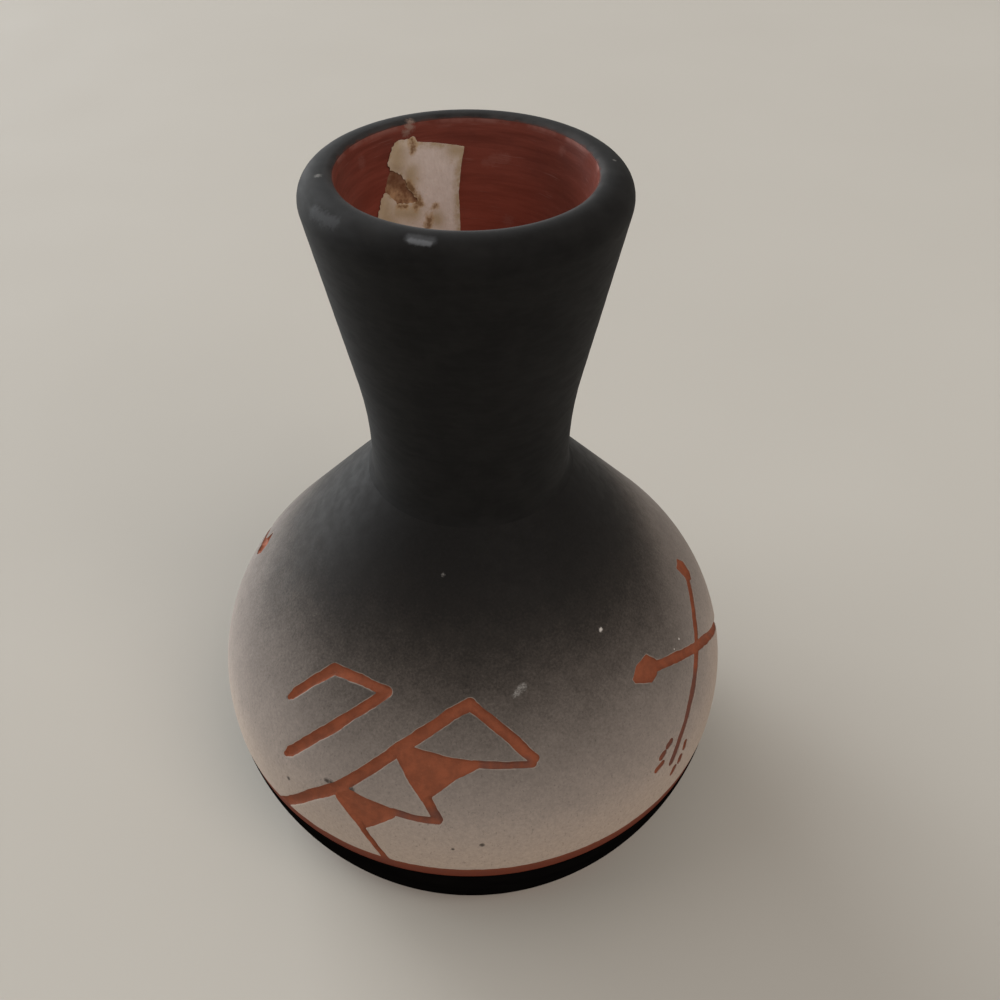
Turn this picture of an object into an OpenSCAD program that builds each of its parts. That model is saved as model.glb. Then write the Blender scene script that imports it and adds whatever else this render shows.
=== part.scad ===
// Bud vase: a thrown globe and a flared neck luted together, dipped in slip, lined with glaze.
// The origin is the centre of the foot, +Z is up, and the side seen first faces -Y.

/* [Overall] */
// Height from the foot to the top of the lip
height = 120; // [116:0.5:126]
// Thickness of the wall, face to face
wall = 5.6; // [5.2:0.1:6]
// Thickness of the slip and glaze coats
coat = 0.2; // [0.15:0.05:0.5]

/* [Globe] */
// Radius at the widest point
globe_r = 46; // [44:0.5:50]
// Height of the widest point
equator_z = 25.3; // [23:0.1:28]
// Radius of the curve above the widest point
shoulder_r = 31.9; // [29:0.1:34]
// Lean of the straight shoulder away from upright, in degrees
shoulder_angle = 42; // [40:0.5:44]
// Thickness of the floor
floor_t = 6.5; // [5:0.5:9]
// Radius inside, where the wall meets the floor
floor_r = 7; // [4:0.5:10]
// Rounding of the foot's edge
foot_r = 2; // [1:0.5:3]

/* [Neck] */
// Radius at the narrowest point
waist_r = 15.9; // [15:0.1:17.5]
// Height of the narrowest point
waist_z = 74.6; // [73:0.1:77]
// Radius of the hollow curve up the neck
neck_curve_r = 73.6; // [60:0.1:85]
// Lean of the straight flare away from upright, in degrees
flare_angle = 11.27; // [10:0.01:13]
// Radius of the crease between shoulder and neck
crease_r = 3; // [2:0.25:4]
// Rounding of the lip's outer edge
lip_outer_r = 3.5; // [3:0.1:4]
// Rounding of the lip's inner edge
lip_inner_r = 1; // [0.8:0.1:1.2]
// Turn of the luting slip's wedge between neck and globe, in degrees
luting_angle = 6; // [3:1:9]

/* [Slip] */
// Height of the middle of the bare clay ring
ring_z = 20.2; // [17:0.1:23]
// Width of the bare clay ring
ring_w = 2.9; // [1.5:0.1:4]
// How far below the widest point the foot band ends, in degrees
foot_band_angle = 30; // [25:0.5:31]
// Where the dark slip ends on the inner rounding of the lip, in degrees
lip_edge = 150; // [110:5:165]

/* [Label] */
// Width of the paper label
label_w = 14.4; // [10:0.1:18]
// Height of the paper label
label_h = 18; // [12:0.5:22]
// Height of the label's top edge
label_top = 116.6; // [114:0.1:117]
// Turn of the label to the left of straight back, in degrees
label_turn = 27; // [0:1:360]
// Thickness of the paper
paper_t = 0.2; // [0.1:0.05:0.4]
// Thickness of the glue film
glue_t = 0.1; // [0.05:0.05:0.2]

/* [Hidden] */
$fn = 120;
arc_step = 3;
same_point = 0.001;

// Depth below the outer finish at which the clay's inner face lies
inside = wall - coat;
globe_c = [0, equator_z];
shoulder_c = [globe_r - shoulder_r, equator_z];
neck_c = [waist_r + neck_curve_r, waist_z];
flare_start = neck_c + neck_curve_r * way(180 - flare_angle);
lip_c = [flare_x(lip_outer_r, height - lip_outer_r), height - lip_outer_r];
lip_in_c = [flare_x(wall - lip_inner_r, height - lip_inner_r), height - lip_inner_r];

// The crease's rounding touches the straight shoulder and the neck's curve
crease_c = crease(-crease_r);
crease_low = 180 + shoulder_angle;
crease_high = 180 + asin((waist_z - crease_c.y) / (neck_curve_r - crease_r));
seat_low = 180 + atan2(crease_c.y - crease(coat).y, crease_c.x - crease(coat).x);
seat_high = seat_low - luting_angle;

// The foot's edge and the inside corner both touch the globe's lower curve
foot_c = [sqrt(pow(globe_r - coat - foot_r, 2) - pow(equator_z - foot_r, 2)), foot_r];
foot_angle = atan2(foot_r - equator_z, foot_c.x);
floor_c = [sqrt(pow(globe_r - wall - floor_r, 2) - pow(equator_z - floor_t - floor_r, 2)),
           floor_t + floor_r];
floor_angle = atan2(floor_c.y - equator_z, floor_c.x);

ring_turn = ring_w / globe_r * 90 / PI;
ring_low = asin((ring_z - equator_z) / globe_r) - ring_turn;
ring_high = asin((ring_z - equator_z) / globe_r) + ring_turn;

// Torn outline of the paper and outline of the glue, in parts of the label's width and height
paper_shape = [
    [-0.5, -0.04], [-0.36, -1], [0.5, -1], [0.49, -0.46], [0.4, -0.32], [0.13, -0.36],
    [0.12, -0.26], [0.31, -0.17], [0.34, -0.07], [0.24, 0.03]
];
glue_shape = [[-0.46, -0.08], [-0.33, -0.97], [0.47, -0.97], [0.5, -0.5], [0.46, -0.22], [0.22, -0.03]];

function way(a) = [cos(a), sin(a)];
function back(points) = [for (i = [len(points) - 1:-1:0]) points[i]];

// Points along an arc from angle a to angle b
function arc(c, r, a, b) =
    let (n = ceil(abs(b - a) / arc_step))
    [for (i = [0:n]) c + r * way(a + (b - a) * i / n)];

// Where a line that starts inside a circle leaves it
function leaves_circle(start, dir, c, r) =
    let (gap = start - c, b = gap * dir)
    start + (sqrt(b * b - gap * gap + r * r) - b) * dir;

// Every face is one outline moved inward by a depth, so the coats and walls stay even
function belly(depth, a, b) = arc(globe_c, globe_r - depth, a, b);
function shoulder(depth) = arc(shoulder_c, shoulder_r - depth, 0, shoulder_angle);
function crease_arc(depth, a, b) = arc(crease_c, crease_r + depth, a, b);
function crease_inside(depth) =
    concat(crease_arc(depth, crease_low, seat_low), crease_arc(depth, seat_low, seat_high),
           crease_arc(depth, seat_high, crease_high));
function neck_curve(depth) = arc(neck_c, neck_curve_r + depth, crease_high, 180 - flare_angle);
function lip_outer(depth) = arc(lip_c, lip_outer_r - depth, -flare_angle, 90);
function lip_inner(depth, a, b) = arc(lip_in_c, lip_inner_r - depth, a, b);
function lip_mouth(depth) = lip_inner(depth, lip_edge, 180 - flare_angle);
function floor_corner(depth) = arc(floor_c, floor_r + wall - depth, -90, floor_angle);

// Where the straight shoulder and the neck's curve would meet without the crease's rounding
function crease(depth) =
    leaves_circle(shoulder_c + (shoulder_r - depth) * way(shoulder_angle), way(90 + shoulder_angle),
                  neck_c, neck_curve_r + depth);

// Radius of the straight flare at a depth and height
function flare_x(depth, z) =
    flare_start.x - depth * cos(flare_angle)
    + (z - flare_start.y - depth * sin(flare_angle)) * tan(flare_angle);

// Outer end of the neck's foot, on a seat that leans at angle a
function seat_end(a) = leaves_circle(crease_c, way(a), neck_c, neck_curve_r + coat);

// The stretches that each coat covers
function globe_cover(depth) =
    concat(belly(depth, ring_high, 0), shoulder(depth), [crease_c + (crease_r + depth) * way(crease_low)]);
function neck_cover(depth) =
    concat(crease_arc(depth, crease_low, crease_high), neck_curve(depth), lip_outer(depth),
           lip_inner(depth, 90, lip_edge));
function foot_cover(depth) = belly(depth, -foot_band_angle, ring_low);
function liner_cover(depth) =
    concat(lip_mouth(wall - depth), back(neck_curve(depth)), back(crease_inside(depth)),
           back(shoulder(depth)), back(belly(depth, floor_angle, 0)), back(floor_corner(depth)),
           [[0, floor_t + depth - wall]]);

// Turns an outline into a ring-shaped solid, leaving out points that repeat
module turned(points) {
    n = len(points);
    rotate_extrude()
        polygon([for (i = [0:n - 1]) if (norm(points[i] - points[(i + 1) % n]) > same_point) points[i]]);
}

// A piece of film on the inner wall, cut to a shape given in parts of the label's size
module film(depth, thickness, shape) {
    low = label_top - 1.2 * label_h;
    high = label_top + 0.2 * label_h;
    outer = wall + depth;
    inner = outer + thickness;
    cut = [for (p = shape) [p.x * label_w, label_top + p.y * label_h]];
    intersection() {
        turned([[flare_x(inner, low), low], [flare_x(outer, low), low],
                [flare_x(outer, high), high], [flare_x(inner, high), high]]);
        rotate([0, 0, label_turn])
            rotate([90, 0, 180])
                linear_extrude(globe_r)
                    polygon(cut);
    }
}

module globe() {
    color("sienna")
        turned(concat([[0, 0]], arc(foot_c, foot_r, -90, foot_angle),
                      belly(coat, foot_angle, -foot_band_angle), foot_cover(coat),
                      belly(coat, ring_low, ring_high), belly(coat, ring_high, 0), shoulder(coat),
                      [crease(coat)], back(crease_arc(inside, crease_low, seat_low)),
                      back(shoulder(inside)), back(belly(inside, floor_angle, 0)),
                      back(floor_corner(inside)), [[0, floor_t - coat]]));
}

module neck() {
    color("sienna")
        turned(concat([seat_end(seat_high)], neck_curve(coat), lip_outer(coat),
                      lip_inner(coat, 90, lip_edge), lip_mouth(coat), back(neck_curve(inside)),
                      back(crease_arc(inside, seat_high, crease_high))));
}

// Joining slip: a wedge under the neck's foot and the bead smoothed into the crease outside
module luting_ring() {
    color("peru")
        turned(concat([crease(coat)], crease_arc(coat, crease_low, crease_high), [seat_end(seat_high)],
                      back(crease_arc(inside, seat_low, seat_high))));
}

module globe_coat() {
    color("gainsboro") turned(concat(globe_cover(0), back(globe_cover(coat))));
}

module neck_coat() {
    color("dimgray") turned(concat(neck_cover(0), back(neck_cover(coat))));
}

module foot_band() {
    color("black") turned(concat(foot_cover(0), back(foot_cover(coat))));
}

module liner_glaze() {
    color("maroon") turned(concat(liner_cover(wall), back(liner_cover(inside))));
}

module label_adhesive() {
    color("saddlebrown") film(0, glue_t, glue_shape);
}

module paper_label() {
    color("antiquewhite") film(glue_t, paper_t, paper_shape);
}

globe();
neck();
luting_ring();
globe_coat();
neck_coat();
foot_band();
liner_glaze();
label_adhesive();
paper_label();
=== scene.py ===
"""Looks of the bud vase: slip coats with cut figures, bare clay, glazed inside and a torn label."""

import math

import bmesh
import bpy
import numpy as np
from mathutils import Matrix, Vector
from mathutils.geometry import delaunay_2d_cdt


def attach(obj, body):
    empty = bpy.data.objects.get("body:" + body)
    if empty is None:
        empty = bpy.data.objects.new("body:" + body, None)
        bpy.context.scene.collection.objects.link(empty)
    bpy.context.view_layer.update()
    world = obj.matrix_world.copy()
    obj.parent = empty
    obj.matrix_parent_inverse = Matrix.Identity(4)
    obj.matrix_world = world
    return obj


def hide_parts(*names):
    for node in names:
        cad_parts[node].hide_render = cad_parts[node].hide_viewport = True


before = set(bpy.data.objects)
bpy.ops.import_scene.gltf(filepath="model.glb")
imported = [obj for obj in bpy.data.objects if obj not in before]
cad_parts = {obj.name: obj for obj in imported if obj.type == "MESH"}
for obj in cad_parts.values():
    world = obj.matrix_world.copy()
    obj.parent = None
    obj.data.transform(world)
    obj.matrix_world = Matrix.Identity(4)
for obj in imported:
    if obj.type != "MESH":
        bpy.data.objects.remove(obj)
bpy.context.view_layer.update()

# Sizes in millimetres and degrees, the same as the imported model's
MM = 0.001
HEIGHT = 120.0
WALL = 5.6
COAT = 0.2
GLOBE_R = 46.0
EQUATOR_Z = 25.3
SHOULDER_R = 31.9
SHOULDER_ANGLE = 42.0
FLOOR_T = 6.5
FLOOR_R = 7.0
FOOT_R = 2.0
WAIST_R = 15.9
WAIST_Z = 74.6
NECK_CURVE_R = 73.6
FLARE_ANGLE = 11.27
CREASE_R = 3.0
LIP_OUTER_R = 3.5
LIP_INNER_R = 1.0
RING_Z = 20.2
RING_W = 2.9
FOOT_BAND_ANGLE = 30.0
LIP_EDGE = 150.0
LABEL_W = 14.4
LABEL_H = 18.0
LABEL_TOP = 116.6
LABEL_TURN = 27.0
PAPER_T = 0.2
GLUE_T = 0.1

# How finely the visible skins are drawn: steps and gaps in millimetres, and counts of points
HIDDEN_GAP = 0.01
WELD = 0.001
SAME_PLACE = 0.0001
ARC_STEP = 0.1
AROUND = 288
NECK_STEP = 0.6
COAT_STEP = 0.8
HIDDEN_STEP = 1.5
RING_STEP = 0.15
FOOT_STEP = 0.5
FIELD_PITCH = 0.15
CUT_EDGE_STEP = 0.22
CUT_GRID = 0.32
COARSE_GRID = 1.3
ROW_SHARE = 0.87
SMALLEST_CUT = 12
LABEL_GRID = 0.35
SMEAR_STEPS = 12
SHARP_ANGLE = 40.0
WANDER_ROWS = 256
WANDER_START = 8
# Distances from a cut's edge at which the globe's mesh has extra lines of points or only a grid
GUARD_LINES = (-0.2, 0.12, 0.3)
CUT_INSIDE = -0.34
COAT_OUTSIDE = 0.65
SEAM_MARGIN = 0.3

# Depths and reaches of the cuts and of the tool marks, in millimetres
REACH = 1.6
RING_GROOVE = 0.04
RING_ROUND = 0.3
RING_BLEND = 1.5
FIGURE_GROOVE = 0.6
GROOVE_ROUND = 0.32
SCRAPE_DEPTH = 0.025
SCRAPE_SIZE = 0.9
COAT_DROP = 0.07
COAT_ROUND = 0.11
COAT_WAVE = 0.015
TRIM_DEPTH = 0.05
TRIM_PITCH = 2.6
RIDGE_DEPTH = 0.008
RIDGE_PITCH = 3.4
SKIN_WAVE = 0.012
THROW_DEPTH = 0.03
THROW_PITCH = 2.6
# Waver of the cuts' edges: amount, size and seed
EDGE_WAVERS = ((0.10, 2.6, 11), (0.06, 0.8, 12))

# The cut figures: azimuth in degrees from the front, + to the right, and height in millimetres.
# A stroke is its width and its points, and the seam is where the drawn skins begin and end.
SEAM = 112.0
STEPPED_STROKES = (
    (1.7, ((-46.7, 44.5), (-43.8, 47.0), (-39.3, 50.0), (-31.0, 50.4), (-23.0, 50.2))),
    (1.3, ((-46.4, 44.6), (-47.2, 43.9))),
    (0.9, ((-47.2, 43.9), (-47.9, 43.3))),
    (1.75, ((-23.0, 50.1), (-29.7, 46.4), (-37.3, 41.0), (-43.0, 36.0))),
    (1.3, ((-42.8, 36.1), (-43.5, 35.4))),
    (0.9, ((-43.5, 35.4), (-44.1, 34.8))),
    (2.0, ((-47.0, 19.3), (-36.1, 30.4), (-30.0, 34.8), (-21.7, 41.1), (-16.8, 44.3), (-10.7, 47.1))),
    (2.0, ((-10.7, 47.1), (-5.8, 49.0), (-1.3, 50.1))),
    (1.8, ((-1.3, 50.1), (3.9, 48.1), (8.2, 46.0), (12.5, 43.0))),
    (1.2, ((12.3, 42.3), (6.2, 42.7), (-0.5, 43.2))),
    (1.6, ((-10.1, 37.4), (-7.8, 34.1))),
    (1.5, ((-7.9, 33.8), (-12.2, 33.8), (-16.9, 34.1))),
    (1.4, ((-29.0, 33.2), (-26.6, 31.3), (-24.5, 29.5), (-21.5, 25.6), (-18.7, 20.8))),
)
STEPPED_FILLS = (
    (
        (-17.8, 43.0), (-15.4, 45.0), (-13.6, 44.7), (-5.8, 44.0), (1.0, 43.5),
        (0.5, 42.5), (-4.3, 40.9), (-9.2, 38.0), (-11.2, 37.0),
    ),
    (
        (-30.2, 33.5), (-27.0, 35.6), (-20.8, 35.1), (-16.2, 34.6),
        (-16.6, 33.0), (-23.0, 28.7), (-27.2, 31.1),
    ),
)
ARROW_STROKES = (
    (1.6, ((84.1, 47.0), (82.1, 46.1), (76.9, 45.0), (72.3, 43.8), (64.6, 40.8), (55.4, 36.6))),
    (1.55, ((55.4, 36.6), (51.9, 34.4), (49.3, 32.8), (45.8, 29.8))),
    (1.25, ((46.3, 34.3), (45.1, 34.0))),
    (1.25, ((43.7, 33.3), (42.7, 33.0))),
    (1.25, ((42.8, 31.6), (40.9, 31.2))),
    (1.4, ((51.3, 30.6), (50.8, 29.8))),
    (1.4, ((49.2, 28.5), (48.9, 27.9))),
    (1.5, ((46.9, 27.4), (46.3, 26.7))),
    (1.8, ((49.4, 46.2), (56.7, 44.5), (63.8, 42.4), (70.4, 40.1), (76.6, 37.4), (82.8, 34.5))),
    (2.0, ((82.8, 34.4), (93.0, 29.2))),
    (1.1, ((90.0, 34.2), (91.4, 33.4))),
    (1.1, ((92.6, 32.8), (94.2, 31.9))),
    (1.1, ((87.6, 29.6), (89.0, 28.6))),
    (1.1, ((90.0, 28.0), (91.4, 26.9))),
)
ARROW_FILLS = (
    ((42.0, 46.9), (45.0, 47.9), (49.6, 48.0), (51.6, 46.6), (49.4, 45.1), (46.8, 44.8), (42.2, 46.3)),
    ((88.1, 46.8), (86.2, 45.4), (84.1, 45.1), (81.2, 46.0), (81.9, 47.1), (82.1, 48.7), (86.5, 48.4)),
)
# The figures in front and their copy behind: how far each is moved, and how freely the hand drifts
FIGURE_COPIES = (((0.0, 0.0), (0.0, 0.0)), ((-184.0, -1.4), (0.35, 0.25)))


def streak(start, end, reach, count):
    """A row of overlapping marks between two places given as (azimuth, height)."""
    return tuple((*map(float, place), reach) for place in np.linspace(start, end, count))


# Small marks of wear, greyer patches over some thin cuts, and painted sheen and glints on the lip:
# azimuth, height and reach
PALE_CHIPS = (
    (40.1, 54.2, 0.5), (61.9, 45.4, 0.25), (58.4, 45.3, 0.2), (-140.0, 50.0, 0.4), (150.0, 57.0, 0.3),
)
PALE_SMUDGES = (
    (12.9, 51.6, 0.7), (12.0, 51.3, 0.8), (11.0, 51.0, 0.7), (10.0, 50.7, 0.5),
    (-12.2, 64.6, 0.4), (-165.0, 54.0, 1.1),
)
DARK_SPECKS = (
    (0.9, 29.0, 0.55), (-4.9, 27.9, 0.42), (-32.2, 35.3, 0.7), (-31.2, 35.3, 0.7),
    (-26.4, 35.8, 0.9), (-42.5, 30.4, 0.6), (165.0, 28.0, 0.5), (-120.0, 30.0, 0.6),
)
DULL_CUTS = (
    streak((60.0, 39.0), (50.0, 33.5), 3.0, 6)
    + streak((47.0, 32.0), (46.5, 29.5), 5.5, 2)
    + streak((-15.0, 34.0), (-8.0, 34.6), 2.2, 4)
    + streak((2.0, 43.0), (11.0, 42.6), 1.6, 5)
)
LIP_CHIPS = ((-82.6, 119.98, 0.7), (-150.0, 119.8, 0.4), (95.0, 119.9, 0.4))
# Painted highlights on the front of the lip: a narrow glint and a broader sheen
LIP_PAINTED_GLINT = streak((-18.9, 119.54), (-12.5, 119.5), 0.6, 10)
LIP_PAINTED_SHEEN = streak((-19.4, 119.72), (-12.0, 119.7), 1.0, 8)
# Pale haze on the lip, partly dust and partly painted sheen
LIP_HAZE_AND_SHEEN = (
    streak((-62.0, 118.7), (-49.0, 119.1), 1.2, 9)
    + streak((156.0, 119.0), (163.0, 118.8), 1.3, 6)
)
GUM_SMEAR = ((-153.6, 119.7, 0.9), (-152.8, 119.2, 1.0), (-150.5, 118.4, 0.9))
INNER_SMUDGES = (
    (-121.0, 116.8, 1.3), (159.0, 114.3, 1.0), (162.5, 114.1, 1.3), (166.0, 113.8, 1.3),
    (169.5, 113.4, 1.0), (155.0, 105.4, 1.2), (128.0, 117.5, 1.0), (20.0, 112.0, 1.0),
    (70.0, 108.0, 0.9),
)

# Outlines of the paper and the glue, in parts of the label's width (+ to the left) and height,
# and which of their sides are torn
PAPER_OUTLINE = (
    (-0.51, -0.05), (-0.46, -0.2), (-0.41, -0.4), (-0.38, -0.75), (-0.36, -1.0), (0.5, -1.0),
    (0.54, -0.44), (0.45, -0.32), (0.4, -0.29), (0.33, -0.34), (0.27, -0.41), (0.14, -0.44),
    (0.04, -0.45), (0.03, -0.43), (0.08, -0.36), (0.13, -0.3), (0.14, -0.25), (0.18, -0.2),
    (0.3, -0.14), (0.31, -0.08), (0.27, -0.01), (0.18, 0.06), (-0.04, 0.06), (-0.05, 0.02),
)
PAPER_TORN = range(5, 23)
GLUE_OUTLINE = ((-0.46, -0.08), (-0.33, -0.97), (0.47, -0.97), (0.48, -0.5), (0.38, -0.26), (0.22, -0.03))
GLUE_TORN = range(2, 5)
TORN_WAVER = 0.15
CUT_WAVER = 0.03
PAPER_LIFT = 0.03
PAPER_CURL = 0.8
PAPER_TAPER = 0.9
PAPER_THINNEST = 0.2
GLUE_TAPER = 0.4
GLUE_THINNEST = 0.3
# Stains on the paper, and painted shadow of the paper's torn flap on the glue: reach in millimetres and
# the path they follow
BROWN_STAINS = (
    (0.6, ((0.01, 0.04), (0.0, 0.0), (0.015, -0.04))),
    (0.8, ((0.11, -0.29), (0.06, -0.37), (0.02, -0.43))),
    (0.7, ((0.01, -0.46), (0.06, -0.47))),
    (0.4, ((0.16, -0.46), (0.28, -0.43))),
    (0.5, ((-0.16, -0.5), (-0.15, -0.51))),
    (0.8, ((-0.07, -0.59), (-0.05, -0.65))),
)
YELLOW_STAINS = (
    (2.3, ((0.2, 0.0), (0.22, -0.12))),
    (1.5, ((0.07, -0.2), (0.08, -0.26))),
    (2.8, ((0.46, -0.36), (0.35, -0.95))),
    (1.7, ((0.28, -0.47), (0.1, -0.52))),
    (1.5, ((-0.5, -0.08), (-0.42, -0.07))),
    (1.2, ((-0.15, -0.6), (-0.16, -0.62))),
)
GLUE_PAINTED_SHADOW = ((1.5, ((0.17, -0.23), (0.33, -0.2))), (0.6, ((0.13, -0.31), (0.05, -0.41))))

# The camera, in millimetres and degrees
CAMERA_AT = (0.0, -134.046, 178.613)
CAMERA_PITCH = 41.264
CAMERA_YAW = 2.049
CAMERA_ROLL = 0.394
CAMERA_LENS = 37.8
CAMERA_SENSOR = 36.0
CAMERA_NEAR = 10.0

# The studio: its light, and its floor's half width in millimetres and colours
WORLD_LIGHT = (1.0, 0.98, 0.95)
WORLD_STRENGTH = 0.35
LIGHT_SPREAD = 36.0
COOL_LIGHT = (0.93, 0.97, 1.0)
WARM_LIGHT = (1.0, 0.905, 0.825)
LIGHTS = (
    ("key", (-1.2, -0.1, 0.9), 0.50, COOL_LIGHT),
    ("rim", (-1.25, 0.9, 0.24), 2.5, COOL_LIGHT),
    ("back", (-0.85, 1.2, 0.42), 2.2, COOL_LIGHT),
    ("front", (0.85, -1.0, 1.4), 0.98, WARM_LIGHT),
)
STUDIO_HALF = 3000.0
STUDIO_DARK = (0.51, 0.48, 0.43)
STUDIO_PALE = (0.54, 0.51, 0.46)


def way(degrees):
    """The direction at an angle above the radius, in (radius, height)."""
    turn = math.radians(degrees)
    return np.array([math.cos(turn), math.sin(turn)])


def leaves_circle(start, direction, centre, radius):
    """Where a line that starts inside a circle leaves it."""
    gap = start - centre
    b = gap @ direction
    return start + (math.sqrt(b * b - gap @ gap + radius * radius) - b) * direction


def crease(depth):
    """Where the shoulder and the neck's curve would meet without the crease's rounding."""
    start = SHOULDER_C + (SHOULDER_R - depth) * way(SHOULDER_ANGLE)
    return leaves_circle(start, way(90 + SHOULDER_ANGLE), NECK_C, NECK_CURVE_R + depth)


def flare_x(depth, z):
    """Radius of the straight flare at a depth and height."""
    lean = math.radians(FLARE_ANGLE)
    rise = z - FLARE_START[1] - depth * math.sin(lean)
    return FLARE_START[0] - depth * math.cos(lean) + rise * math.tan(lean)


def on_flare(depth, z):
    """The flare's point at a depth and height."""
    return np.array([flare_x(depth, z), z])


def in_globe(gap, z):
    """The point at a height that lies a gap from the globe's centre, and its angle there."""
    drop = z - EQUATOR_Z
    across = math.sqrt(gap**2 - drop**2)
    return np.array([across, z]), math.degrees(math.atan2(drop, across))


GLOBE_C = np.array([0.0, EQUATOR_Z])
SHOULDER_C = np.array([GLOBE_R - SHOULDER_R, EQUATOR_Z])
NECK_C = np.array([WAIST_R + NECK_CURVE_R, WAIST_Z])
FLARE_START = NECK_C + NECK_CURVE_R * way(180 - FLARE_ANGLE)
LIP_C = on_flare(LIP_OUTER_R, HEIGHT - LIP_OUTER_R)
LIP_IN_C = on_flare(WALL - LIP_INNER_R, HEIGHT - LIP_INNER_R)
CREASE_C = crease(-CREASE_R)
CREASE_LOW = 180 + SHOULDER_ANGLE
CREASE_HIGH = 180 + math.degrees(math.asin((WAIST_Z - CREASE_C[1]) / (NECK_CURVE_R - CREASE_R)))
FOOT_C, FOOT_ANGLE = in_globe(GLOBE_R - COAT - FOOT_R, FOOT_R)
FLOOR_C, FLOOR_ANGLE = in_globe(GLOBE_R - WALL - FLOOR_R, FLOOR_T + FLOOR_R)
RING_MID = math.degrees(math.asin((RING_Z - EQUATOR_Z) / GLOBE_R))
RING_LOW = RING_MID - math.degrees(RING_W / GLOBE_R) / 2


def arc(centre, radius, start, end, bulge=1):
    """Rows of an outline along an arc: radius, height and the normal's radius and height.

    Bulge is -1 where the clay lies outside the arc.
    """
    count = max(2, math.ceil(abs(math.radians(end - start)) * radius / ARC_STEP))
    turn = np.radians(np.linspace(start, end, count + 1))
    ways = np.stack([np.cos(turn), np.sin(turn)], axis=1)
    return np.hstack([centre + radius * ways, bulge * ways])


def row(point, normal):
    """One row of an outline."""
    return np.hstack([point, normal]).reshape(1, 4)


def lengths(rows):
    """Distance of each row from the first, along the outline."""
    steps = np.hypot(*np.diff(rows[:, :2], axis=0).T)
    return np.concatenate([[0.0], np.cumsum(steps)])


def between(rows, known, places):
    """Rows found between those at known places."""
    return np.stack([np.interp(places, known, column) for column in rows.T], axis=-1)


def rows_at(rows, distances):
    """The outline's rows at distances along it."""
    found = between(rows, lengths(rows), distances)
    found[..., 2:] /= np.linalg.norm(found[..., 2:], axis=-1, keepdims=True)
    return found


def spaced(rows, step):
    """The outline's rows, drawn again at even steps."""
    total = lengths(rows)[-1]
    return rows_at(rows, np.linspace(0, total, max(2, round(total / step)) + 1))


def placed(rows, azimuth, depth):
    """Points in metres, at azimuths in degrees and at depths under the outline."""
    radius = rows[..., 0] - depth * rows[..., 2]
    height = rows[..., 1] - depth * rows[..., 3]
    turn = np.radians(azimuth)
    return np.stack([radius * np.sin(turn), -radius * np.cos(turn), height + 0 * turn], axis=-1) * MM


def globe_outline():
    """From the middle of the clay ring up to the crease."""
    return np.vstack((
        arc(GLOBE_C, GLOBE_R, RING_MID, 0),
        arc(SHOULDER_C, SHOULDER_R, 0, SHOULDER_ANGLE),
        row(CREASE_C + CREASE_R * way(CREASE_LOW), -way(CREASE_LOW)),
    ))


def neck_outline():
    """From the crease up the neck and over the lip to where the glaze begins."""
    return np.vstack((
        arc(CREASE_C, CREASE_R, CREASE_LOW, CREASE_HIGH, -1),
        arc(NECK_C, NECK_CURVE_R, CREASE_HIGH, 180 - FLARE_ANGLE, -1),
        arc(LIP_C, LIP_OUTER_R, -FLARE_ANGLE, 90),
        arc(LIP_IN_C, LIP_INNER_R, 90, LIP_EDGE),
    ))


def liner_outline():
    """From the lip down the whole inside to the middle of the floor."""
    return np.vstack((
        arc(LIP_IN_C, LIP_INNER_R, LIP_EDGE, 180 - FLARE_ANGLE),
        arc(NECK_C, NECK_CURVE_R + WALL, 180 - FLARE_ANGLE, CREASE_HIGH),
        arc(CREASE_C, CREASE_R + WALL, CREASE_HIGH, CREASE_LOW),
        arc(SHOULDER_C, SHOULDER_R - WALL, SHOULDER_ANGLE, 0, -1),
        arc(GLOBE_C, GLOBE_R - WALL, 0, FLOOR_ANGLE, -1),
        arc(FLOOR_C, FLOOR_R, FLOOR_ANGLE, -90, -1),
        row((0.0, FLOOR_T), (0.0, 1.0)),
    ))


def wall_radius(height, inside):
    """Radius of the finished wall at a height, on the inside or the outside."""
    outline = np.vstack([globe_outline(), neck_outline(), liner_outline()])
    top = outline[:, 1].argmax()
    side = outline[top:][::-1] if inside else outline[: top + 1]
    return float(np.interp(height, side[:, 1], side[:, 0]))


def wander(azimuth, distance, size, seed, radius=GLOBE_R):
    """Smooth noise from -1 to 1 over a wall, in patches of a size in millimetres."""
    columns = max(4, round(2 * math.pi * radius / size))
    lattice = np.random.default_rng(seed).uniform(-1, 1, (columns, WANDER_ROWS))
    u = np.mod(azimuth, 360) / 360 * columns
    v = np.asarray(distance) / size + WANDER_START
    i = np.floor(u).astype(int)
    j = np.floor(v).astype(int)
    fu = (u - i) ** 2 * (3 - 2 * (u - i))
    fv = (v - j) ** 2 * (3 - 2 * (v - j))

    def column(k):
        k = k % columns
        return lattice[k, j % WANDER_ROWS] * (1 - fv) + lattice[k, (j + 1) % WANDER_ROWS] * fv

    return column(i) * (1 - fu) + column(i + 1) * fu


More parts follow.
